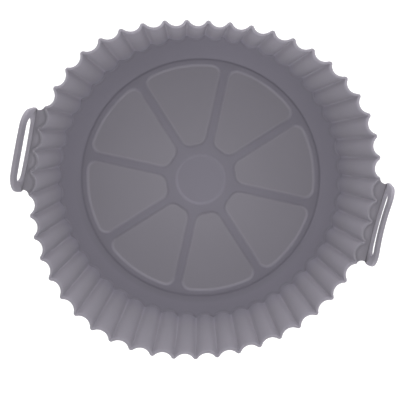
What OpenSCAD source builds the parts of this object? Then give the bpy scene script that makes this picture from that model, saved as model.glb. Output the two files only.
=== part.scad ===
// Fluted silicone liner for a round air fryer basket, moulded in one piece.
// Z is up from the table, the origin is under the middle of the floor,
// and the two lifting loops stand on the X axis. All sizes are millimetres.

/* [Body] */
// Diameter over the flute tips at the rim
rim_d = 200; // [190:1:220]
// Diameter over the flute tips at the foot of the wall
base_d = 176; // [168:1:182]
// Height of the rim above the table
height = 50; // [40:1:60]
// Thickness of the wall
wall_t = 1.2; // [1:0.1:1.6]
// Radius of the outer bottom edge
base_round = 3; // [2:0.5:4]

/* [Flutes] */
// Number of flutes round the wall
flute_n = 50; // [40:2:54]
// Depth of a flute at the rim
flute_depth_rim = 3.3; // [2.4:0.1:3.8]
// Depth of a flute at the foot of the wall
flute_depth_base = 1.9; // [1.4:0.1:2.4]
// Width of the outward tip left between two flutes
flute_tip_w = 1.8; // [1.4:0.1:2.6]

/* [Floor] */
// Thickness of the floor
floor_t = 1.8; // [1.2:0.1:2.4]
// Height of the ribs above the floor
rib_rise = 0.8; // [0.6:0.1:1.6]
// Diameter over the outer ring of ribs
ring_outer_d = 146.6; // [143:0.2:150]
// Diameter inside the outer ring
ring_inner_d = 140.2; // [130:0.2:142]
// Diameter over the ring round the hub
hub_ring_d = 41.4; // [37:0.2:48]
// Diameter of the hub, the round field inside that ring
hub_d = 31.4; // [24:0.2:34]
// Number of spokes
spoke_n = 8; // [6:1:10]
// Width of a spoke
spoke_w = 4; // [2:0.1:5]
// Radius where a spoke meets the outer ring
spoke_outer_r = 5; // [3:0.5:7]
// Radius where a spoke meets the ring round the hub
spoke_inner_r = 4; // [1.5:0.5:4.5]

/* [Loops] */
// Length of a lifting loop at its foot
loop_len = 48.8; // [46:0.2:54]
// Length of a loop at its top, before its corners are rounded
loop_top_len = 45.2; // [42:0.2:50]
// Height of a loop measured along its plate
loop_h = 19.2; // [17:0.2:24]
// Radius of a loop's two upper corners
loop_top_r = 11.6; // [6:0.2:12.4]
// Radius of a loop's two corners at its foot
loop_foot_r = 3.2; // [1:0.2:4]
// Width of the loop's bars above and below the slot
loop_bar_w = 4.4; // [3.6:0.1:5]
// Width of the loop's bars at the two ends of the slot
loop_end_w = 5.4; // [4:0.1:7]
// Thickness of the loop's plate
loop_t = 2.2; // [1.8:0.1:3]
// Angle of the plate above the horizontal
loop_lean = 78; // [70:1:86]
// Distance of the plate's foot outside the flute tips
loop_reach = 0.6; // [0.4:0.1:3]
// Depth that the plate's foot lies below the top of the web
loop_sink = 2.8; // [2.4:0.1:3.6]
// Thickness of the web that joins a loop to the wall
web_t = 2.2; // [1.6:0.1:2.4]
// Depth of the top of the web below the rim
web_drop = 0.8; // [0.4:0.1:1.4]
// Number of flutes that a web spans
web_flutes = 4; // [2:2:6]
// Width of the round hollow at each end of a web, measured outwards from the flute tip
web_hollow_w = 5.4; // [5.2:0.1:6.4]
// Depth of that hollow
web_hollow_depth = 1.8; // [1.2:0.1:2.4]

/* [Hidden] */
$fn = 64;
round_fn = 180;
overlap = 1;
rim_r = rim_d / 2;
base_r = base_d / 2;
slope = atan2(rim_r - base_r, height);
cavity_inset = wall_t / cos(slope);
cavity_round = base_round - wall_t;
spoke_half_angle = 180 / spoke_n;
flute_step = 360 / flute_n;
slot_h = loop_h - 2 * loop_bar_w;
slot_round = 0.45;
loop_foot_x = rim_r + loop_reach;
web_z = height - web_drop;
web_half_angle = web_flutes * flute_step / 2;
web_tip = rim_r * [cos(web_half_angle), sin(web_half_angle)];
web_root_x = web_tip[0] - 2 * flute_depth_rim;
web_hollow_r = (web_hollow_w * web_hollow_w / 4 + web_hollow_depth * web_hollow_depth) / (2 * web_hollow_depth);

// Radius of the plain cone over the flute tips at height z
function tip_r(z) = base_r + (rim_r - base_r) * z / height;

// Depth of a flute at height z
function flute_depth(z) = flute_depth_base + (flute_depth_rim - flute_depth_base) * z / height;

// Radius of the hollow that cuts a flute, from its depth and the width left for the tips
function flute_r(z) =
    let (half_chord = (PI * 2 * tip_r(z) / flute_n - flute_tip_w) / 2, depth = flute_depth(z))
    (half_chord * half_chord + depth * depth) / (2 * depth);

// Distance of a flute's own axis from the middle at height z
function flute_axis(z) = tip_r(z) + flute_r(z) - flute_depth(z);

// One tapered column on each flute's axis, grown by the given amount
module flute_columns(grow) {
    low = -overlap;
    high = height + 3 * overlap;
    run = flute_axis(high) - flute_axis(low);
    rise = high - low;
    for (k = [0 : flute_n - 1])
        rotate([0, 0, (k + 0.5) * flute_step])
            translate([flute_axis(low), 0, low])
                rotate([0, atan2(run, rise), 0])
                    cylinder(r1 = flute_r(low) + grow, r2 = flute_r(high) + grow, h = norm([run, rise]));
}

// Cone over the flute tips with its bottom edge rounded
module tip_cone(inset, foot_z, top_z, edge_r) {
    foot_r = tip_r(foot_z) - inset;
    edge_x = foot_r - edge_r * tan(45 - slope / 2);
    rotate_extrude($fn = round_fn)
        union() {
            difference() {
                polygon([[0, foot_z], [foot_r, foot_z], [tip_r(top_z) - inset, top_z], [0, top_z]]);
                polygon([
                    [edge_x, foot_z],
                    [edge_x, foot_z - overlap],
                    [foot_r + overlap, foot_z - overlap],
                    [foot_r + overlap, foot_z + edge_r * (1 - sin(slope))],
                    [edge_x + edge_r * cos(slope), foot_z + edge_r * (1 - sin(slope))],
                    [edge_x, foot_z + edge_r]
                ]);
            }
            translate([edge_x, foot_z + edge_r])
                circle(r = edge_r);
        }
}

// Plan of one field between two spokes, lying across the +X axis, its sides parallel to the spokes
module field_plan() {
    outer_r = ring_inner_d / 2;
    inner_r = hub_ring_d / 2;
    outer_off = spoke_w / 2 + spoke_outer_r;
    inner_off = spoke_w / 2 + spoke_inner_r;
    outer_along = sqrt(pow(outer_r - spoke_outer_r, 2) - outer_off * outer_off);
    inner_along = sqrt(pow(inner_r + spoke_inner_r, 2) - inner_off * inner_off);
    outer_turn = spoke_half_angle - atan2(outer_off, outer_along);
    reach_r = outer_r + overlap;
    difference() {
        union() {
            intersection() {
                circle(r = outer_r, $fn = round_fn);
                union()
                    for (side = [-1, 1])
                        polygon([
                            [0, 0],
                            [reach_r, 0],
                            [reach_r, side * reach_r * tan(outer_turn)],
                            side_point(outer_along, outer_off, side),
                            side_point(outer_along, spoke_w / 2, side),
                            side_point(inner_along, spoke_w / 2, side),
                            side_point(inner_along, inner_off, side)
                        ]);
            }
            for (side = [-1, 1]) {
                translate(side_point(outer_along, outer_off, side))
                    circle(r = spoke_outer_r);
                translate(side_point(inner_along, inner_off, side))
                    circle(r = spoke_inner_r);
            }
        }
        circle(r = inner_r, $fn = round_fn);
    }
}

// Point measured along a spoke's middle line and off it, towards the field
function side_point(along, off, side) = [
    along * cos(spoke_half_angle) + off * sin(spoke_half_angle),
    side * (along * sin(spoke_half_angle) - off * cos(spoke_half_angle))
];

// Wheel of ribs that stands on the floor: an outer ring, the spokes and the ring round the hub
module floor_ribs() {
    translate([0, 0, floor_t - overlap])
        linear_extrude(rib_rise + overlap)
            difference() {
                circle(d = ring_outer_d, $fn = round_fn);
                for (k = [0 : spoke_n - 1])
                    rotate([0, 0, (k + 0.5) * 2 * spoke_half_angle])
                        field_plan();
                circle(d = hub_d, $fn = round_fn);
            }
}

// Half the length of a loop's plate at a height above its foot
function loop_half(up) = (loop_len - (loop_len - loop_top_len) * up / loop_h) / 2;

// Outline that stands on the X axis: a straight foot, leaning ends and rounded corners
module arch_plan(foot_half, top_half, high, foot_r, top_r) {
    lean_in = foot_half - top_half;
    end_len = norm([high, lean_in]);
    end_facing = [high, lean_in] / end_len;
    foot_centre = [foot_half - foot_r * (end_len + lean_in) / high, foot_r];
    top_centre = [foot_half - (top_r * end_len + lean_in * (high - top_r)) / high, high - top_r];
    right = [
        [foot_centre[0], 0],
        foot_centre + foot_r * end_facing,
        top_centre + top_r * end_facing,
        [top_centre[0], high]
    ];
    polygon(concat(right, [for (i = [3 : -1 : 0]) [-right[i][0], right[i][1]]]));
    for (side = [-1, 1]) {
        translate([side * foot_centre[0], foot_centre[1]])
            circle(r = foot_r);
        translate([side * top_centre[0], top_centre[1]])
            circle(r = top_r);
    }
}

// Lifting loop on the +X side: a slotted plate that stands on the edge of the web
module loop_plate() {
    end_w = loop_end_w * norm([loop_h, (loop_len - loop_top_len) / 2]) / loop_h;
    slot_r = slot_round * slot_h;
    translate([loop_foot_x, 0, web_z - loop_sink])
        rotate([0, 90 - loop_lean, 0])
            rotate([90, 0, 90])
                linear_extrude(loop_t)
                    difference() {
                        arch_plan(loop_half(0), loop_half(loop_h), loop_h, loop_foot_r, loop_top_r);
                        translate([0, loop_bar_w])
                            arch_plan(
                                loop_half(loop_bar_w) - end_w,
                                loop_half(loop_bar_w + slot_h) - end_w,
                                slot_h,
                                slot_r,
                                slot_r
                            );
                    }
}

// Flat web that fills the flutes behind a loop, with a shallow round hollow at each end
module loop_web() {
    hollow_x = web_tip[0] + web_hollow_w / 2;
    hollow_y = web_tip[1] - web_hollow_depth + web_hollow_r;
    translate([0, 0, web_z - web_t])
        difference() {
            translate([web_root_x, -web_tip[1]])
                cube([loop_foot_x + overlap - web_root_x, 2 * web_tip[1], web_t]);
            for (side = [-1, 1])
                translate([hollow_x, side * hollow_y, -overlap])
                    cylinder(r = web_hollow_r, h = web_t + 2 * overlap);
        }
}

// Cone over the flute tips less the flutes between them
module outer_form() {
    difference() {
        tip_cone(0, 0, height, base_round);
        flute_columns(0);
    }
}

// Everything that is hollow above the floor
module cavity() {
    difference() {
        tip_cone(cavity_inset, floor_t, height + overlap, cavity_round);
        flute_columns(wall_t);
    }
}

module liner() {
    color([0.47, 0.46, 0.5])
        union() {
            difference() {
                union() {
                    outer_form();
                    for (turn = [0, 180])
                        rotate([0, 0, turn])
                            loop_web();
                }
                cavity();
            }
            floor_ribs();
            for (turn = [0, 180])
                rotate([0, 0, turn])
                    loop_plate();
        }
}

liner();
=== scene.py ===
import math

import bpy
import numpy as np
from mathutils import Matrix, Vector
from mathutils.geometry import delaunay_2d_cdt


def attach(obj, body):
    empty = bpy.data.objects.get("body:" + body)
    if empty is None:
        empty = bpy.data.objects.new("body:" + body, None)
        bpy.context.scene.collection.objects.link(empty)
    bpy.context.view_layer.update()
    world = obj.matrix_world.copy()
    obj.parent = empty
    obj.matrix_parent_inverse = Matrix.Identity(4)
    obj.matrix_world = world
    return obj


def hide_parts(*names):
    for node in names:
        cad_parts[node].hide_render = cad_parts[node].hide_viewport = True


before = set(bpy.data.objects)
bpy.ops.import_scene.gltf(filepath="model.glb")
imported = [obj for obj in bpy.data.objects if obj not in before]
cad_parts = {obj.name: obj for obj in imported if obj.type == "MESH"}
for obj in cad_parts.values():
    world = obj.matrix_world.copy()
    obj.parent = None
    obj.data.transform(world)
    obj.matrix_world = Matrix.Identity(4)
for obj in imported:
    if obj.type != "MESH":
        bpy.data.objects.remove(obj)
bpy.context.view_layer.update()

# Sizes are in millimetres. Tables that go round the liner start at +X, which is east, and are in degrees.
# North is +Y, at the top of the photograph. A tone is a factor on the colour of the silicone.
# Most tones below are painted light and shade: colour made lighter or darker to stand in for how the light
# falls.
MM = 0.001

# Sizes of the moulding, as in the part's source
RIM_R = 100.0
BASE_R = 88.0
HEIGHT = 50.0
WALL_T = 1.2
BASE_ROUND = 3.0
FLUTE_N = 50
FLUTE_DEPTH_RIM = 3.3
FLUTE_DEPTH_BASE = 1.9
FLUTE_TIP_W = 1.8
FLOOR_Z = 1.8
RIB_Z = 2.6
RING_OUTER_R = 73.3
RING_INNER_R = 70.1
HUB_RING_R = 20.7
HUB_R = 15.7
SPOKE_N = 8
SPOKE_W = 4.0
LOOP_H = 19.2
LOOP_TOP_R = 11.6
LOOP_FOOT_R = 3.2
LOOP_BAR_W = 4.4
LOOP_T = 2.2
LOOP_SINK = 2.8
SLOT_ROUND = 0.45
WEB_T = 2.2
WEB_DROP = 0.8
WEB_FLUTES = 4
WEB_HOLLOW_DEPTH = 1.8

# Sizes that a later look at the photograph made a little different from the part's source
FIELD_OUTER_CORNER_R = 6.0
FIELD_INNER_CORNER_R = 6.5
LOOP_LEN = 49.2
LOOP_TOP_LEN = 45.6
LOOP_NORTH_TOP_R = 8.8
LOOP_TOP_BAR_W = 5.7
LOOP_END_W = 5.5
# How far the slot lies north of the middle of its loop
SLOT_NORTH = 0.45
# Height of the ledge between the ribs and the wall
LEDGE_Z = 2.2
# How far the pattern of the floor lies off the middle of the moulding
FLOOR_SHIFT = (0.3, -0.1)

# Soft edges that the moulding has and the plain solid leaves out: radii of the lip's two edges, of the
# inner foot of the wall and of the bars of the loops, and the bevel round a web
LIP_R = 0.45
FOOT_R = 1.2
BAR_EDGE_R = 0.6
WEB_EDGE = 0.3
# How far the middle of the lip's rounded edge lies inside its sharp corner
LIP_CORNER = 0.13
# How far the corners of a web's hidden edge lie inside the flute tips, and how far the hollow at each end
# of a web goes on past the middle of the plate's foot
WEB_ROOT_INSET = 0.5
WEB_HOLLOW_PAST = 0.4
# Soft side of a rib towards a field: distance from the field's outline to the rib, share of the rib's
# height, and share of the painted highlight along the edge
RIB_SIDE = (
    (0.6, 1.0, 0.0),
    (0.35, 0.96, 0.2),
    (0.0, 0.8, 0.5),
    (-0.4, 0.5, 0.85),
    (-0.8, 0.2, 1.0),
    (-1.15, 0.04, 1.0),
    (-1.5, 0.0, 0.6),
    (-2.0, 0.0, 0.0),
)
# Soft step outside the ring of ribs: distance outside the ring, and share of the step's height
RING_STEP = ((1.5, 0.0), (0.8, 0.0), (0.45, 0.1), (0.15, 0.35), (-0.15, 0.65), (-0.45, 0.9), (-0.8, 1.0))

# Tones of the floor: the ribs, the fields with their painted light that changes to the south and to both
# sides, and the hub with its painted light that changes to the east
RIB_TONE = 0.93
FIELD_TONE = 1.079
FIELD_SOUTH = 0.016
FIELD_ACROSS = 0.02
HUB_TONE = 0.99
HUB_EAST = 0.018
# Painted highlight along the edges: how much lighter the edge of a field is where it faces in to the hub
# (-1), to a spoke (0) and out to the ring (1), and how much lighter the edge of the hub is
EDGE_LIGHT = ((-1, 0.09), (0, 0.09), (1, 0.035))
HUB_EDGE_LIGHT = 0.105
# Share by which an edge has less of that painted highlight where it faces north and more where it faces
# south, and the turn of this change on the hub in radians
EDGE_SOUTH = 0.6
HUB_EDGE_TURN = 0.5
# Painted highlight on the step outside the ring: how much lighter it is to the east and west. It is twice
# as much to the south
STEP_LIGHT = 0.085
# Painted light round the ledge between the ribs and the wall: its tone by direction
LEDGE_TONES = (
    (0, 1.1), (45, 1.065), (90, 1.115), (135, 1.045),
    (180, 1.09), (225, 1.045), (270, 1.02), (315, 1.085), (360, 1.1),
)
# Painted shadow on the ledge close to the ring in the south: its tone, how far north of the middle it
# begins as a share of the radius, and how fast it grows
SOUTH_LEDGE_SHADOW = 0.88
SOUTH_START = 0.2
SOUTH_POWER = 1.5
# Rows across the ledge: distance outside the ring, and share of the painted shadow in the south
LEDGE_ROWS = ((5.0, 0.0), (3.0, 2 / 3))
# Distance from the rounded foot of the wall at which the ledge has its own painted light
LEDGE_START = 1.2

# Painted shade in the rounded foot of the wall and its lowest row, and painted light that changes their
# tone round the wall and fades upwards
FOOT_TONE = 0.875
FOOT_END_TONE = 0.95
FOOT_TONES = (
    (0, 1.02), (45, 0.995), (90, 1.08), (135, 1.0),
    (180, 1.06), (225, 1.0), (270, 0.96), (315, 0.98), (360, 1.02),
)
FOOT_FADE = 10.0
# Painted light and shade on the inner wall by the height above its rounded foot
LOW_WALL_TONES = ((0, 0.99), (3, 1.018), (10, 1.018), (18, 1.0))
# Painted light across a flute, lighter at the crease and darker in the middle, by the distance from the
# crease as a share of the flute's width
CREASE_TONES = ((0.04, 1.09), (0.2, 1.0), (0.45, 0.955))
# Painted light and shade on the flutes: share by which one side of a flute is darker and the other side
# lighter
FLUTE_SIDE_TONES = (
    (0, 0.075), (60, 0.025), (90, 0.0), (150, -0.025), (210, -0.02),
    (240, -0.02), (270, 0.0), (330, 0.07), (360, 0.075),
)
# Painted light round the inner wall, and the further painted light on the north wall, its share by height
# and how narrow it is
WALL_TONES = ((0, 1.04), (45, 0.97), (105, 1.065), (180, 1.05), (240, 1.0), (315, 1.09), (360, 1.04))
NORTH_WALL_PAINTED_LIGHT = 1.22
NORTH_BY_HEIGHT = ((4, 0.25), (36, 1.0))
NORTH_POWER = 6
# Painted light along the rim by direction, painted shade on the rim beside a web by the sign of the web's
# X, and how far beyond a web that goes on
RIM_TONES = (
    (0, 1.18), (40, 1.18), (75, 1.15), (120, 1.2), (165, 1.02),
    (210, 0.91), (245, 0.95), (310, 0.97), (360, 1.18),
)
WEB_RIM_TONES = {1: 0.84, -1: 0.73}
WEB_MARGIN = 0.5
# Share by which the inner edge of the lip goes back to the plain tone, and least tone of the painted
# highlight just below the lip, away from the webs
LIP_FADE = 0.115
WALL_TOP_TONE = 1.04
# Painted shade on each web, by the sign of its X
WEB_TONES = {1: 0.88, -1: 0.82}
# Painted light on each loop by the sign of its X: painted shade at its middle and painted highlight at its
# north end and south end, and the places along it between which these tones change, from south to north
LOOP_TONES = {1: (0.9, 1.3, 1.16), -1: (0.9, 1.2, 1.03)}
LOOP_ENDS = (-24.0, -17.0, 14.0, 22.0)
# Painted shade in the crease between a web and its loop, and the width of the crease
LOOP_CREASE_SHADE = 0.32
LOOP_CREASE_W = 0.6
# Height above its foot at which the inner wall has the warmer of the two greys
WARM_RISE = 12.0

# Points along the hollow of a flute and along its tip, rows up each side of the wall, and rows round its
# inner foot
FLUTE_STEPS = 11
TIP_STEPS = 5
WALL_ROWS = 16
FOOT_ROUND_STEPS = 4
# Heights of the rows round the bottom edge, and distance from that edge to the row on the flat underside
EDGE_ROWS = (0.0, 0.15, 0.5, 1.05, 1.7, 2.4, 3.2)
UNDERSIDE_INSET = 0.6
# Points round the hub, and along the parts of a field's outline
HUB_STEPS = 72
FIELD_RING_STEPS = 28
FIELD_HUB_STEPS = 6
OUTER_CORNER_STEPS = 10
INNER_CORNER_STEPS = 7
SPOKE_STEPS = 14
# Points along a loop's corners, its ends and its long sides, angles of the rows round a bar's edge, and
# distances from the slot of the further rows on the bars
LOOP_CORNER_STEPS = 9
LOOP_END_STEPS = 3
LOOP_SIDE_STEPS = 14
BAR_EDGE_ANGLES = (0, 22.5, 45, 67.5, 90)
BAR_ROWS = (1.0, 1.5)
# Points along the hollow at each end of a web
WEB_STEPS = 10

# How far the soft rim has moved outwards and anticlockwise: waves round the rim as (order, cosine, sine)
RIM_OUT = (
    (0, 0.23, 0.0),
    (1, 0.19, -1.33),
    (2, 0.56, 1.57),
    (3, 0.51, 2.09),
    (4, -1.54, -0.93),
    (5, 0.07, -0.12),
    (6, -0.15, 0.31),
    (7, -0.15, -0.1),
)
RIM_ROUND = (
    (0, 0.12, 0.0),
    (1, 0.82, -0.15),
    (2, 0.9, -0.23),
    (3, 0.54, -0.15),
    (4, -0.16, 0.22),
)
# Height from which the soft wall moves, and how its movement grows from there
SOFT_FROM_Z = 2.8
SOFT_POWER = 1.2
# Pose of each soft loop, by the sign of its X: lean in degrees at its middle, change of lean towards its
# anticlockwise end and towards both ends, reach outside the flute tips, shift anticlockwise, and further
# shift of its top
LOOP_POSE = {
    1: (89.4, 1.9, -4.1, 1.3, -0.34, -0.8),
    -1: (73.7, 0.1, 4.3, 0.2, 0.26, 0.5),
}

# The two greys of the silicone: a warmer one, and a cooler one on the ribs, hub, ledge and inner foot
WARM_GREY = (0.1907, 0.181, 0.2073, 1)
COOL_GREY = (0.188, 0.178, 0.213, 1)
# Least angle between two faces that show a sharp edge
SHARP_ANGLE = 50.0

# The bright band of light round the object: sines of the elevations where it begins, is full and ends
BAND_FOOT = 0.0
BAND_LOW = 0.34
BAND_HIGH = 0.42
BAND_TOP = 0.72
# Strength of the band, its change to the north and its change across, and strength of the light all over
BAND_LEVEL = 3.2
BAND_NORTH = 0.08
BAND_ACROSS = 0.34
TOP_LEVEL = 0.65
# Colour of the table, and its glow where it is seen, which makes it white. Its radius is in metres
TABLE_GREY = 0.72
TABLE_GLOW = 0.42
TABLE_R = 3.0
TABLE_STEPS = 64

SLOPE = math.atan2(RIM_R - BASE_R, HEIGHT)
FLUTE_STEP = 2 * math.pi / FLUTE_N
WALL_ACROSS = WALL_T / math.cos(SLOPE)
WEB_Z = HEIGHT - WEB_DROP
FOOT_TOP_Z = LEDGE_Z + FOOT_R
# Height at which the rounded bottom edge meets the leaning wall
EDGE_TOP_Z = BASE_ROUND * (1 - math.sin(SLOPE))


class Shape:
    """Vertices and faces of the liner, with a tone, mostly painted light and shade, and a share of the warm
    grey at each vertex.
    """

    def __init__(self):
        self.points = []
        self.faces = []
        self.tones = []
        self.warmths = []

    def ring(self, points, tone=1.0, warmth=1.0):
        """Adds a closed row of vertices and returns their numbers."""
        start = len(self.points)
        self.points.extend(tuple(map(float, p)) for p in points)
        self.tones.extend(np.broadcast_to(tone, len(points)))
        self.warmths.extend(np.broadcast_to(warmth, len(points)))
        return list(range(start, start + len(points)))

    def skin(self, rings):
        """Joins each row to the next one with faces."""
        for low, high in zip(rings, rings[1:]):
            for i in range(len(low)):
                j = (i + 1) % len(low)
                self.faces.append((low[i], low[j], high[j], high[i]))


def turned(x, y, angle):
    """A point turned about the middle, by an angle in radians."""
    return (x * math.cos(angle) - y * math.sin(angle), x * math.sin(angle) + y * math.cos(angle))


def with_z(points, z):
    """Points of an outline at height z."""
    points = np.asarray(points)
    return np.column_stack([points, np.full(len(points), z)])


def lengths(points):
    return np.linalg.norm(points, axis=1)


def pulled_in(points, by):
    """Points moved straight towards the middle."""
    return points * (1 - by / lengths(points))[:, None]


def on_circle(points, radius):
    return points * (radius / lengths(points))[:, None]


def kept_within(points, radius):
    """Points outside a circle are brought back to it."""
    return points * np.minimum(1, radius / lengths(points))[:, None]


def angle_of(points):
    return np.degrees(np.arctan2(points[:, 1], points[:, 0])) % 360


def from_table(table, at):
    """Value at a place, or at each of many, from a table of (place, value)."""
    return np.interp(at, *zip(*table))


def by_angle(points, table):
    return from_table(table, angle_of(points))


def flute_size(z):
    """Radius over the tips, depth, and radius of the hollow of a flute at height z."""
    share = z / HEIGHT
    tip = BASE_R + (RIM_R - BASE_R) * share
    depth = FLUTE_DEPTH_BASE + (FLUTE_DEPTH_RIM - FLUTE_DEPTH_BASE) * share
    half_chord = (2 * math.pi * tip / FLUTE_N - FLUTE_TIP_W) / 2
    return tip, depth, (half_chord ** 2 + depth ** 2) / (2 * depth)


def fluted_outline(z, flutes=range(FLUTE_N)):
    """Points of the wall's outer outline at height z, and the outward normal at each."""
    tip, depth, hollow_r = flute_size(z)
    hollow_at = tip + hollow_r - depth
    c = math.cos(FLUTE_STEP / 2)
    s = math.sin(FLUTE_STEP / 2)
    # The rounded tip reaches the tips' radius and touches the hollows on both sides of it
    from_tip_sq = hollow_at ** 2 + tip ** 2 - 2 * hollow_at * tip * c
    tip_r = (from_tip_sq - hollow_r ** 2) / (2 * (hollow_r + tip - hollow_at * c))
    tip_at = tip - tip_r
    swing = math.atan2(tip_at * s, hollow_at - tip_at * c)
    turn = math.atan2(hollow_at * s, hollow_at * c - tip_at)
    points = []
    normals = []
    for k in flutes:
        middle = (k + 0.5) * FLUTE_STEP
        for i in range(FLUTE_STEPS):
            a = -swing + 2 * swing * i / FLUTE_STEPS
            normals.append(turned(math.cos(a), -math.sin(a), middle))
            points.append(turned(hollow_at - hollow_r * math.cos(a), hollow_r * math.sin(a), middle))
        edge = middle + FLUTE_STEP / 2
        for i in range(TIP_STEPS):
            a = -turn + 2 * turn * i / TIP_STEPS
            normals.append(turned(math.cos(a), math.sin(a), edge))
            points.append(turned(tip_at + tip_r * math.cos(a), tip_r * math.sin(a), edge))
    return np.array(points), np.array(normals)


def bottom_edge_r(z):
    """Radius of the rounded bottom edge at height z."""
    start = BASE_R - BASE_ROUND * math.tan(math.pi / 4 - SLOPE / 2)
    return start + math.sqrt(BASE_ROUND ** 2 - (BASE_ROUND - z) ** 2)


def by_web(points):
    """Which points of the rim lie beside a web."""
    return np.abs(points[:, 1]) < RIM_R * math.sin(WEB_FLUTES / 2 * FLUTE_STEP) + WEB_MARGIN


def outer_wall(shape):
    """Rows from the flat underside up to the lip."""
    points, _ = fluted_outline(0.0)
    rings = [shape.ring(with_z(on_circle(points, bottom_edge_r(0.0) - UNDERSIDE_INSET), 0.0))]
    for z in EDGE_ROWS:
        points, _ = fluted_outline(z)
        if z < EDGE_TOP_Z:
            points = kept_within(points, bottom_edge_r(z))
        rings.append(shape.ring(with_z(points, z)))
    for z in np.linspace(EDGE_ROWS[-1], HEIGHT - LIP_R, WALL_ROWS)[1:]:
        points, _ = fluted_outline(z)
        rings.append(shape.ring(with_z(points, z)))
    return rings


def lip(shape):
    """Rows over the rounded lip."""
    points, normals = fluted_outline(HEIGHT)
    # Painted light along the lip by direction, and painted shade on the lip beside the webs
    web_tone = np.where(points[:, 0] > 0, WEB_RIM_TONES[1], WEB_RIM_TONES[-1])
    tone = np.where(by_web(points), web_tone, by_angle(points, RIM_TONES))
    rows = (
        (LIP_CORNER, LIP_CORNER, tone),
        (LIP_R, 0.0, tone),
        (WALL_ACROSS - LIP_R, 0.0, tone),
        (WALL_ACROSS - LIP_CORNER, LIP_CORNER, tone + (1 - tone) * LIP_FADE),
    )
    rings = []
    for inset, drop, row_tone in rows:
        rings.append(shape.ring(with_z(points - normals * inset, HEIGHT - drop), row_tone))
    return rings


def wall_tone(points, z):
    """Painted light and shade of the inner wall across its flutes, round the wall and up it, at points of
    its outline.
    """
    phase = angle_of(points) * FLUTE_N / 360
    from_crease = np.abs((phase + 0.5) % 1 - 0.5)
    tone = from_table(CREASE_TONES, from_crease) * by_angle(points, WALL_TONES)
    tone = tone * (1 - by_angle(points, FLUTE_SIDE_TONES) * np.sin(2 * math.pi * phase))
    north = np.clip(points[:, 1] / RIM_R, 0, 1) ** NORTH_POWER * from_table(NORTH_BY_HEIGHT, z)
    tone = tone * (1 + (NORTH_WALL_PAINTED_LIGHT - 1) * north)
    above_foot = z - FOOT_TOP_Z
    near_foot = max(0.0, 1 - above_foot / FOOT_FADE)
    tone = tone * (1 + (by_angle(points, FOOT_TONES) - 1) * near_foot)
    return tone * from_table(LOW_WALL_TONES, above_foot)


def inner_wall(shape):
    """Rows from the lip down to the rounded foot."""
    rim, _ = fluted_outline(HEIGHT)
    # Painted highlight on the top row of the inner wall, away from the webs
    top_tone = np.where(by_web(rim), 1.0, np.maximum(by_angle(rim, RIM_TONES), WALL_TOP_TONE))
    rings = []
    for z in np.linspace(HEIGHT - LIP_R, FOOT_TOP_Z, WALL_ROWS):
        points, normals = fluted_outline(z)
        tone = wall_tone(points, z)
        if not rings:
            tone = tone * top_tone
        warmth = min(1.0, (z - FOOT_TOP_Z) / WARM_RISE)
        rings.append(shape.ring(with_z(points - normals * WALL_ACROSS, z), tone, warmth))
    return rings


def inner_foot(shape, wall_foot):
    """Rows round the inner foot of the wall, down to the ledge."""
    rings = []
    for i in range(1, FOOT_ROUND_STEPS + 1):
        a = math.pi / 2 * i / FOOT_ROUND_STEPS
        points = pulled_in(wall_foot, FOOT_R * (1 - math.cos(a)))
        # Painted shade: the foot is darker than the wall and ledge
        tone = FOOT_TONE if i < FOOT_ROUND_STEPS else FOOT_END_TONE
        z = LEDGE_Z + FOOT_R * (1 - math.sin(a))
        rings.append(shape.ring(with_z(points, z), tone * by_angle(points, FOOT_TONES), 0.0))
    return rings


def ledge_and_step(shape, wall_foot):
    """Rows across the flat ledge, and up the soft step to the top of the outer ring of ribs."""
    # Painted light on the ledge, by direction
    tone = by_angle(wall_foot, LEDGE_TONES)
    # Painted shadow on the ledge in the south, next to the ring and at the foot of the step
    south = np.clip(SOUTH_START - wall_foot[:, 1] / BASE_R, 0, 1) ** SOUTH_POWER
    south_shadow = (SOUTH_LEDGE_SHADOW - 1) * south
    northing = wall_foot[:, 1] / lengths(wall_foot)
    rings = [shape.ring(with_z(pulled_in(wall_foot, FOOT_R + LEDGE_START), LEDGE_Z), tone, 0.0)]
    for out, share in LEDGE_ROWS:
        points = on_circle(wall_foot, RING_OUTER_R + out) + FLOOR_SHIFT
        rings.append(shape.ring(with_z(points, LEDGE_Z), tone * (1 + south_shadow * share), 0.0))
    for out, rise in RING_STEP:
        points = on_circle(wall_foot, RING_OUTER_R + out) + FLOOR_SHIFT
        # This is 1 halfway up the step, and 0 at its foot and top
        halfway = 4 * rise * (1 - rise)
        # Painted highlight halfway up the step, none in the north
        light = STEP_LIGHT * halfway * (1 - northing)
        step_tone = (tone + (RIB_TONE - tone) * rise) * (1 + south_shadow * (1 - rise) + light)
        rings.append(shape.ring(with_z(points, LEDGE_Z + rise * (RIB_Z - LEDGE_Z)), step_tone, 0.0))
    return rings


def arc(parts, centre, radius, start, stop, steps):
    """Points along an arc, without its last one, each as (centre, radius, direction)."""
    for i in range(steps):
        parts.append((centre, radius, start + (stop - start) * i / steps))


def straight(parts, start, stop, start_r, stop_r, facing, steps):
    """Points along a straight side, between the centres and radii of two corners."""
    for i in range(steps):
        share = i / steps
        centre = (start[0] + (stop[0] - start[0]) * share, start[1] + (stop[1] - start[1]) * share)
        parts.append((centre, start_r + (stop_r - start_r) * share, facing))


def grown(parts, by, turn=0.0):
    """Points of an outline moved outwards by a distance, and the whole turned about the middle."""
    points = []
    for (x, y), radius, facing in parts:
        reach = radius + by
        points.append(turned(x + reach * math.cos(facing), y + reach * math.sin(facing), turn))
    return np.array(points)


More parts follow.
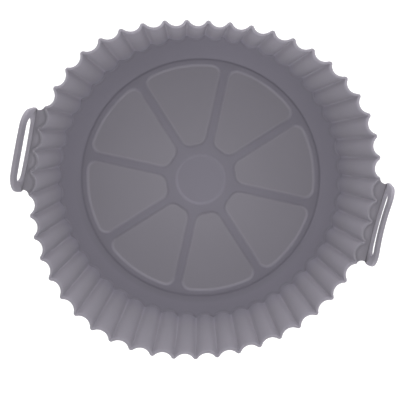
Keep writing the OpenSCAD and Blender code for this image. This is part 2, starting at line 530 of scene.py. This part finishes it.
def field_outline():
    """Outline of a field between two spokes, lying across the +X axis."""
    half = math.pi / SPOKE_N
    outer_r = FIELD_OUTER_CORNER_R
    inner_r = FIELD_INNER_CORNER_R
    outer_at = RING_INNER_R - outer_r
    inner_at = HUB_RING_R + inner_r
    outer_turn = half - math.asin((SPOKE_W / 2 + outer_r) / outer_at)
    inner_turn = half - math.asin((SPOKE_W / 2 + inner_r) / inner_at)
    side = half + math.pi / 2
    middle = (0.0, 0.0)
    outer_end = turned(outer_at, 0, outer_turn)
    inner_end = turned(inner_at, 0, inner_turn)
    other_outer = turned(outer_at, 0, -outer_turn)
    other_inner = turned(inner_at, 0, -inner_turn)
    parts = []
    arc(parts, middle, RING_INNER_R, -outer_turn, outer_turn, FIELD_RING_STEPS)
    arc(parts, outer_end, outer_r, outer_turn, side, OUTER_CORNER_STEPS)
    straight(parts, outer_end, inner_end, outer_r, inner_r, side, SPOKE_STEPS)
    arc(parts, inner_end, inner_r, side, math.pi + inner_turn, INNER_CORNER_STEPS)
    arc(parts, middle, -HUB_RING_R, math.pi + inner_turn, math.pi - inner_turn, FIELD_HUB_STEPS)
    arc(parts, other_inner, inner_r, math.pi - inner_turn, 2 * math.pi - side, INNER_CORNER_STEPS)
    straight(parts, other_inner, other_outer, inner_r, outer_r, -side, SPOKE_STEPS)
    arc(parts, other_outer, outer_r, -side, -outer_turn, OUTER_CORNER_STEPS)
    return parts


def rib_side(shape, outlines, light, tone, warmth):
    """Rows from the top of the ribs down to a field or the hub, given the outline of each row."""
    rings = []
    for points, (_, rise, edge) in zip(outlines, RIB_SIDE):
        # The light along the edge is a painted highlight
        row_tone = (tone + (RIB_TONE - tone) * rise) * (1 + light * edge)
        z = FLOOR_Z + rise * (RIB_Z - FLOOR_Z)
        rings.append(shape.ring(with_z(points, z), row_tone, warmth * (1 - rise)))
    shape.skin(rings)
    return rings[0], rings[-1]


def fields(shape):
    """Sides of the sunken fields: the top and bottom row of each."""
    outline = field_outline()
    facings = np.array([facing for _, _, facing in outline])
    light = from_table(EDGE_LIGHT, np.cos(facings))
    sides = []
    for k in range(SPOKE_N):
        turn = (k + 0.5) * 2 * math.pi / SPOKE_N
        outlines = [grown(outline, out, turn) + FLOOR_SHIFT for out, _, _ in RIB_SIDE]
        # Painted highlight along the field's edge, stronger where it faces south
        edge_light = light * (1 - EDGE_SOUTH * np.sin(facings + turn))
        # Painted light: the fields are lighter to the south, and lighter to the east and west
        tone = FIELD_TONE - FIELD_SOUTH * math.sin(turn) + FIELD_ACROSS * math.cos(2 * turn)
        sides.append(rib_side(shape, outlines, edge_light, tone, 1.0))
    return sides


def hub(shape):
    """Side of the sunken hub: its top and bottom row."""
    angles = np.arange(HUB_STEPS) * 2 * math.pi / HUB_STEPS
    circle = np.column_stack([np.cos(angles), np.sin(angles)])
    outlines = [circle * (HUB_R + out) + FLOOR_SHIFT for out, _, _ in RIB_SIDE]
    # Painted highlight round the edge of the hub, stronger on its south side
    light = HUB_EDGE_LIGHT * (1 - EDGE_SOUTH * np.sin(angles + HUB_EDGE_TURN))
    # Painted light: the hub is lighter to the east
    tone = HUB_TONE + HUB_EAST * circle[:, 0]
    return rib_side(shape, outlines, light, tone, 0.0)


def fill(shape, outer, holes):
    """Flat triangles between an outer row of vertices and the rows round its holes."""
    rings = [outer] + holes
    index = [i for ring in rings for i in ring]
    flat = [Vector(shape.points[i][:2]) for i in index]
    loops = []
    start = 0
    for ring in rings:
        loops.append(list(range(start, start + len(ring))))
        start += len(ring)
    inside_only = 1
    tolerance = 1e-6
    _, _, triangles, origins, _, inside = delaunay_2d_cdt(flat, [], loops, inside_only, tolerance)
    for triangle, homes in zip(triangles, inside):
        if list(homes) == [0]:
            shape.faces.append(tuple(index[origins[i][0]] for i in triangle))


def cup(shape):
    """The whole cup as one closed skin: underside, outer wall, lip, inner wall and floor."""
    rings = outer_wall(shape) + lip(shape) + inner_wall(shape)
    wall_foot = np.array([shape.points[i][:2] for i in rings[-1]])
    rings += inner_foot(shape, wall_foot) + ledge_and_step(shape, wall_foot)
    shape.skin(rings)
    shape.faces.append(tuple(reversed(rings[0])))
    hollows = fields(shape) + [hub(shape)]
    fill(shape, rings[-1], [top for top, _ in hollows])
    for _, bottom in hollows:
        fill(shape, bottom, [])


def arch(foot_half, top_half, low, high, foot_r, top_rs):
    """Outline with a straight foot, leaning ends and round corners, the two top ones with a radius each."""
    rise = high - low
    draw_in = foot_half - top_half
    end_len = math.hypot(rise, draw_in)
    tilt = math.atan2(draw_in, rise)
    foot_x = foot_half - foot_r * (end_len + draw_in) / rise
    top_xs = [foot_half - (r * end_len + draw_in * (rise - r)) / rise for r in top_rs]
    corners = (
        ((foot_x, low + foot_r), foot_r, -math.pi / 2, tilt),
        ((top_xs[0], high - top_rs[0]), top_rs[0], tilt, math.pi / 2),
        ((-top_xs[1], high - top_rs[1]), top_rs[1], math.pi / 2, math.pi - tilt),
        ((-foot_x, low + foot_r), foot_r, math.pi - tilt, 3 * math.pi / 2),
    )
    side_steps = (LOOP_END_STEPS, LOOP_SIDE_STEPS, LOOP_END_STEPS, LOOP_SIDE_STEPS)
    parts = []
    for corner, after, steps in zip(corners, corners[1:] + corners[:1], side_steps):
        centre, radius, start, stop = corner
        arc(parts, centre, radius, start, stop, LOOP_CORNER_STEPS)
        straight(parts, centre, after[0], radius, after[1], stop, steps)
    return parts


def plate_points(flat, depth, side):
    """Points of a loop's plate, given as (along, up), in the pose that the soft loop has."""
    lean, one_end, both_ends, reach, shift, top_shift = LOOP_POSE[side]
    along, up = flat[:, 0], flat[:, 1]
    share = along / (LOOP_LEN / 2)
    a = np.radians(lean + one_end * share + both_ends * share * share)
    x = RIM_R + reach + depth * np.sin(a) + up * np.cos(a)
    y = along + shift + top_shift * up / LOOP_H
    z = WEB_Z - LOOP_SINK - depth * np.cos(a) + up * np.sin(a)
    return np.column_stack([x * side, y * side, z])


def loop_ring(shape, side):
    """The slotted plate of one loop, with soft edges."""
    draw_in = (LOOP_LEN - LOOP_TOP_LEN) / 2
    top_rs = (LOOP_NORTH_TOP_R, LOOP_TOP_R) if side > 0 else (LOOP_TOP_R, LOOP_NORTH_TOP_R)
    outer = arch(LOOP_LEN / 2, LOOP_TOP_LEN / 2, 0, LOOP_H, LOOP_FOOT_R, top_rs)
    low_half = LOOP_LEN / 2 - draw_in * LOOP_BAR_W / LOOP_H - LOOP_END_W
    high_half = LOOP_TOP_LEN / 2 + draw_in * LOOP_TOP_BAR_W / LOOP_H - LOOP_END_W
    slot_r = SLOT_ROUND * (LOOP_H - LOOP_BAR_W - LOOP_TOP_BAR_W)
    slot = arch(low_half, high_half, LOOP_BAR_W, LOOP_H - LOOP_TOP_BAR_W, slot_r, (slot_r, slot_r))
    slot = [((x + SLOT_NORTH * side, up), radius, facing) for (x, up), radius, facing in slot]

    edge = []
    for a in np.radians(BAR_EDGE_ANGLES):
        edge.append((BAR_EDGE_R * (1 - math.cos(a)), BAR_EDGE_R * (1 - math.sin(a))))
    rows = [(outer, -inset, drop) for inset, drop in reversed(edge)]
    rows += [(outer, -inset, LOOP_T - drop) for inset, drop in edge]
    rows += [(slot, inset, LOOP_T - drop) for inset, drop in reversed(edge)]
    rows += [(slot, inset, drop) for inset, drop in edge]
    rows += [(slot, inset, 0.0) for inset in BAR_ROWS]

    # Painted shade in the middle of the loop and painted highlight towards its ends
    middle, north, south = LOOP_TONES[side]
    # Painted shade along the foot of the plate, in the crease by the web
    crease = ((LOOP_SINK, LOOP_CREASE_SHADE), (LOOP_SINK + LOOP_CREASE_W, 1.0))
    rings = []
    for outline, by, depth in rows:
        flat = grown(outline, by)
        tone = np.interp(flat[:, 0] * side, LOOP_ENDS, (south, middle, middle, north))
        if depth == 0:
            tone = tone * from_table(crease, flat[:, 1])
        rings.append(shape.ring(plate_points(flat, depth, side), tone))
    shape.skin(rings + rings[:1])


def web_slab(shape, side):
    """The flat web behind one loop, ending inside the wall and inside the plate."""
    half = WEB_FLUTES // 2
    points, normals = fluted_outline(WEB_Z - WEB_T / 2, range(-half, half))
    inner = points - normals * (WALL_ACROSS / 2)
    tip_x, tip_y = turned(RIM_R, 0, half * FLUTE_STEP)
    root = np.array([tip_x - WEB_ROOT_INSET, tip_y])
    inner = np.vstack([root * [1, -1], inner[1:], root])

    lean, _, _, reach, shift, _ = LOOP_POSE[side]
    crease_x = RIM_R + reach + LOOP_SINK / math.tan(math.radians(lean))
    edge_x = crease_x + LOOP_T / 2
    hollow_half = (edge_x - tip_x) / 2 + WEB_HOLLOW_PAST
    hollow_r = (hollow_half ** 2 + WEB_HOLLOW_DEPTH ** 2) / (2 * WEB_HOLLOW_DEPTH)
    across = np.append(np.linspace(tip_x, crease_x - LOOP_CREASE_W, WEB_STEPS + 1), (crease_x, edge_x))
    dip = np.sqrt(hollow_r ** 2 - (across - tip_x - hollow_half) ** 2) - (hollow_r - WEB_HOLLOW_DEPTH)
    end_y = tip_y - dip
    drift = shift * (across - tip_x) / (edge_x - tip_x)
    low_end = np.column_stack([across, drift - end_y])
    high_end = np.column_stack([across, drift + end_y])[::-1]
    outline = np.vstack([low_end, high_end, inner[::-1][:-1]]) * side

    # At each end, the point in the crease and the one under the plate have the crease's painted shade
    # Painted shade over the whole web
    tone = np.full(len(outline), WEB_TONES[side])
    tone[WEB_STEPS + 1:WEB_STEPS + 5] = LOOP_CREASE_SHADE
    middle = outline.mean(axis=0)
    shrunk = middle + pulled_in(outline - middle, WEB_EDGE)
    low = shape.ring(with_z(outline, WEB_Z - WEB_T), WEB_TONES[side])
    bevel = shape.ring(with_z(outline, WEB_Z - WEB_EDGE), tone)
    high = shape.ring(with_z(shrunk, WEB_Z), tone)
    shape.skin([low, bevel, high])
    # The top is cut in three along the crease, so that the crease's painted shade stays beside the plate
    strip = high[WEB_STEPS:WEB_STEPS + 6]
    shape.faces.append((strip[0], strip[1], strip[4], strip[5]))
    shape.faces.append((strip[1], strip[2], strip[3], strip[4]))
    shape.faces.append(tuple(high[:WEB_STEPS + 1] + high[WEB_STEPS + 5:]))
    shape.faces.append(tuple(reversed(low)))


def waves(terms, angle):
    """Sum of the waves round the middle at an angle in radians."""
    return sum(c * np.cos(n * angle) + s * np.sin(n * angle) for n, c, s in terms)


def softened(points):
    """The rim and loops of the moulding pushed out of round, as the soft wall is in use."""
    x, y, z = np.array(points).T
    angle = np.arctan2(y, x)
    rise = np.clip((z - SOFT_FROM_Z) / (HEIGHT - SOFT_FROM_Z), 0, 1) ** SOFT_POWER
    out = waves(RIM_OUT, angle) * rise
    along = waves(RIM_ROUND, angle) * rise
    moved_x = x + out * np.cos(angle) - along * np.sin(angle)
    moved_y = y + out * np.sin(angle) + along * np.cos(angle)
    return np.column_stack([moved_x, moved_y, z])


def make_piece(name, shape, material):
    """One Blender object of the shape, in the form that the soft liner has."""
    mesh = bpy.data.meshes.new(name)
    mesh.from_pydata([tuple(p) for p in softened(shape.points) * MM], [], shape.faces)
    mesh.validate()
    mesh.update()
    for label, values in (("tone", shape.tones), ("warmth", shape.warmths)):
        mesh.attributes.new(label, "FLOAT", "POINT").data.foreach_set("value", values)
    mesh.polygons.foreach_set("use_smooth", [True] * len(mesh.polygons))
    mesh.set_sharp_from_angle(angle=math.radians(SHARP_ANGLE))
    mesh.materials.append(material)
    piece = bpy.data.objects.new(name, mesh)
    bpy.context.scene.collection.objects.link(piece)
    return piece


def combine(tree, operation, first, second):
    """Output of a math node on two values, each a number or the output of another node."""
    node = tree.nodes.new("ShaderNodeMath")
    node.operation = operation
    for socket, value in zip(node.inputs, (first, second)):
        if isinstance(value, float):
            socket.default_value = value
        else:
            tree.links.new(value, socket)
    return node.outputs[0]


def seen(tree):
    """1 for rays from the camera, by way of reflections and clear bodies too, and 0 for all others."""
    rays = tree.nodes.new("ShaderNodeLightPath").outputs
    direct = combine(tree, "MAXIMUM", rays["Is Camera Ray"], rays["Is Glossy Ray"])
    return combine(tree, "MAXIMUM", direct, rays["Is Transmission Ray"])


def silicone():
    """Matte silicone: two greys, a tone from place to place that is mostly painted light and shade, faint
    blotches and a fine grain.
    """
    material = bpy.data.materials.new("matte_silicone")
    material.use_nodes = True
    tree = material.node_tree
    nodes = tree.nodes
    links = tree.links
    shader = nodes["Principled BSDF"]
    shader.inputs["Specular IOR Level"].default_value = 0.25
    place = nodes.new("ShaderNodeTexCoord")

    def surface_value(label):
        node = nodes.new("ShaderNodeAttribute")
        node.attribute_name = label
        return node.outputs["Fac"]

    def noise(scale, detail):
        node = nodes.new("ShaderNodeTexNoise")
        node.inputs["Scale"].default_value = scale
        node.inputs["Detail"].default_value = detail
        links.new(place.outputs["Object"], node.inputs["Vector"])
        return node.outputs["Fac"]

    def spread(value, low, high):
        node = nodes.new("ShaderNodeMapRange")
        node.inputs["To Min"].default_value = low
        node.inputs["To Max"].default_value = high
        links.new(value, node.inputs["Value"])
        return node.outputs["Result"]

    grey = nodes.new("ShaderNodeMix")
    grey.data_type = "RGBA"
    grey.inputs[6].default_value = COOL_GREY
    grey.inputs[7].default_value = WARM_GREY
    links.new(surface_value("warmth"), grey.inputs[0])
    blotches = spread(noise(scale=22.0, detail=4.0), low=0.96, high=1.04)
    colour = nodes.new("ShaderNodeVectorMath")
    colour.operation = "SCALE"
    links.new(grey.outputs[2], colour.inputs[0])
    links.new(combine(tree, "MULTIPLY", surface_value("tone"), blotches), colour.inputs["Scale"])
    links.new(colour.outputs[0], shader.inputs["Base Color"])

    roughness = spread(noise(scale=60.0, detail=3.0), low=0.58, high=0.7)
    links.new(roughness, shader.inputs["Roughness"])

    bump = nodes.new("ShaderNodeBump")
    bump.inputs["Strength"].default_value = 0.1
    bump.inputs["Distance"].default_value = 0.0002
    links.new(noise(scale=1800.0, detail=2.0), bump.inputs["Height"])
    links.new(bump.outputs["Normal"], shader.inputs["Normal"])
    return material


def white_floor():
    """A round white table top under the liner."""
    material = bpy.data.materials.new("white_floor")
    material.use_nodes = True
    tree = material.node_tree
    nodes = tree.nodes
    links = tree.links
    nodes.clear()
    out = nodes.new("ShaderNodeOutputMaterial")
    plain = nodes.new("ShaderNodeBsdfDiffuse")
    plain.inputs["Color"].default_value = (TABLE_GREY, TABLE_GREY, TABLE_GREY, 1)
    glow = nodes.new("ShaderNodeEmission")
    glow.inputs["Color"].default_value = (1, 1, 1, 1)
    links.new(combine(tree, "MULTIPLY", seen(tree), TABLE_GLOW), glow.inputs["Strength"])
    both = nodes.new("ShaderNodeAddShader")
    links.new(plain.outputs[0], both.inputs[0])
    links.new(glow.outputs[0], both.inputs[1])
    links.new(both.outputs[0], out.inputs["Surface"])

    corners = []
    for i in range(TABLE_STEPS):
        a = 2 * math.pi * i / TABLE_STEPS
        corners.append((TABLE_R * math.cos(a), TABLE_R * math.sin(a), 0.0))
    mesh = bpy.data.meshes.new("table")
    mesh.from_pydata(corners, [], [tuple(range(TABLE_STEPS))])
    mesh.materials.append(material)
    floor = bpy.data.objects.new("table", mesh)
    bpy.context.scene.collection.objects.link(floor)


def studio():
    """A white tent with its light low and all round: a bright band above the horizon and a dimmer top."""
    scene = bpy.context.scene
    scene.view_settings.view_transform = "Standard"
    world = bpy.data.worlds.new("studio")
    scene.world = world
    world.use_nodes = True
    tree = world.node_tree
    nodes = tree.nodes
    links = tree.links
    nodes.clear()
    out = nodes.new("ShaderNodeOutputWorld")
    sky = nodes.new("ShaderNodeBackground")
    sky.inputs["Color"].default_value = (1, 1, 1, 1)
    links.new(sky.outputs[0], out.inputs["Surface"])
    place = nodes.new("ShaderNodeTexCoord")
    axes = nodes.new("ShaderNodeSeparateXYZ")
    links.new(place.outputs["Generated"], axes.inputs[0])
    x, y, z = axes.outputs

    def smooth_step(value, start, stop):
        node = nodes.new("ShaderNodeMapRange")
        node.interpolation_type = "SMOOTHSTEP"
        node.inputs["From Min"].default_value = start
        node.inputs["From Max"].default_value = stop
        links.new(value, node.inputs["Value"])
        return node.outputs["Result"]

    rising = smooth_step(z, BAND_FOOT, BAND_LOW)
    falling = combine(tree, "SUBTRACT", 1.0, smooth_step(z, BAND_HIGH, BAND_TOP))
    band = combine(tree, "MULTIPLY", rising, falling)
    to_north = combine(tree, "MULTIPLY", y, BAND_NORTH)
    across = combine(tree, "SUBTRACT", combine(tree, "MULTIPLY", y, y), combine(tree, "MULTIPLY", x, x))
    uneven = combine(tree, "ADD", to_north, combine(tree, "MULTIPLY", across, BAND_ACROSS))
    strength = combine(tree, "MULTIPLY", combine(tree, "ADD", uneven, 1.0), BAND_LEVEL)
    level = combine(tree, "ADD", combine(tree, "MULTIPLY", band, strength), TOP_LEVEL)
    as_seen = seen(tree)
    lit = combine(tree, "MULTIPLY", level, combine(tree, "SUBTRACT", 1.0, as_seen))
    links.new(combine(tree, "ADD", lit, as_seen), sky.inputs["Strength"])


def camera():
    """The photograph's view: nearly straight down, turned and tilted a little."""
    tilt_x = Matrix.Rotation(math.radians(7.735), 3, "X")
    tilt_y = Matrix.Rotation(math.radians(1.246), 3, "Y")
    roll = Matrix.Rotation(math.radians(-12.442), 3, "Z")
    turn = tilt_y @ tilt_x @ roll
    # Place of the origin as the camera sees it: to the right, upwards and away
    shift = Vector((0.2535, 13.185, -600.0)) * MM
    focal_px = 969.7
    frame_px = 400
    data = bpy.data.cameras.new("camera")
    data.sensor_width = 36.0
    data.lens = data.sensor_width * focal_px / frame_px
    eye = bpy.data.objects.new("camera", data)
    back = turn.transposed()
    eye.matrix_world = Matrix.Translation(-(back @ shift)) @ back.to_4x4()
    bpy.context.scene.collection.objects.link(eye)
    bpy.context.scene.camera = eye


camera()
studio()
white_floor()

skin = Shape()
cup(skin)
for side in (1, -1):
    web_slab(skin, side)
    loop_ring(skin, side)
liner = make_piece("silicone_liner", skin, silicone())
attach(liner, "root")
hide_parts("liner")
